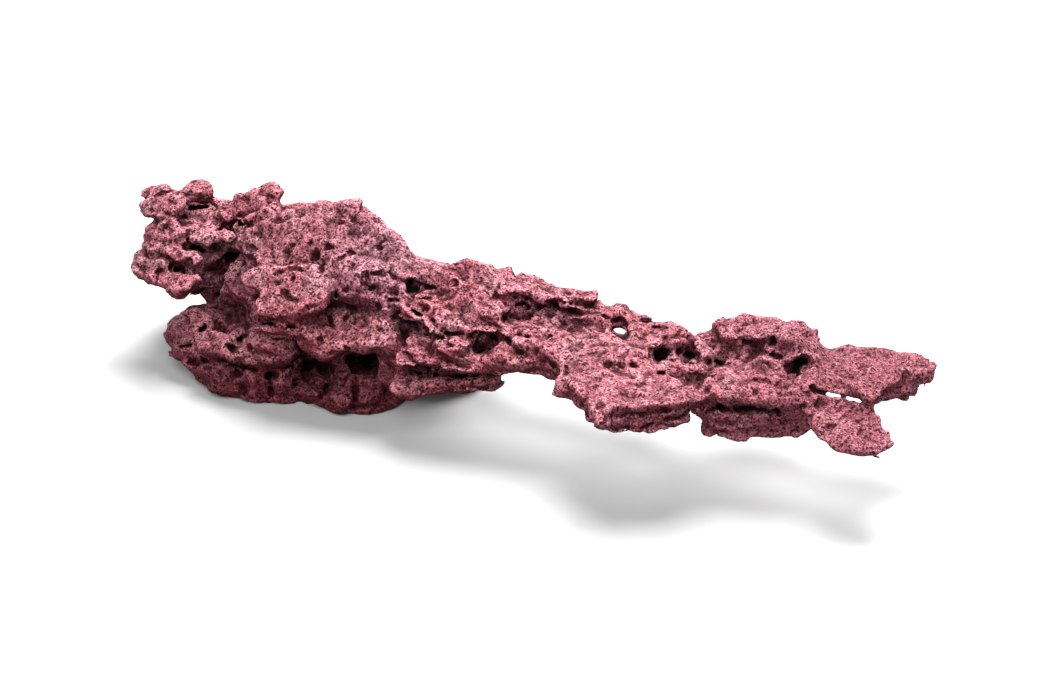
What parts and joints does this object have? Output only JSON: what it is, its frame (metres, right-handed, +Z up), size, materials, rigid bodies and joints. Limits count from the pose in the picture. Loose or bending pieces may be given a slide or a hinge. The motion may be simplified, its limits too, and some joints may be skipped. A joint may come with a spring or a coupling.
{
  "type": "dry reef rock",
  "caption": "Natural aquascape stone: a heavy lumpy foot carries a long cantilevered shelf of thin, ragged stacked plates with caves and windows.",
  "frame": {"origin": "middle of the base of the rock's box, on the floor it stands on", "axes": "+X from the foot out along the shelf to its tip, +Y to the back, +Z up"},
  "size_m": [0.4348, 0.1362, 0.1024],
  "materials": {
    "stone": "matte"
  },
  "bodies": {
    "root": {"reef_rock": "stone"}
  },
  "joints": []
}
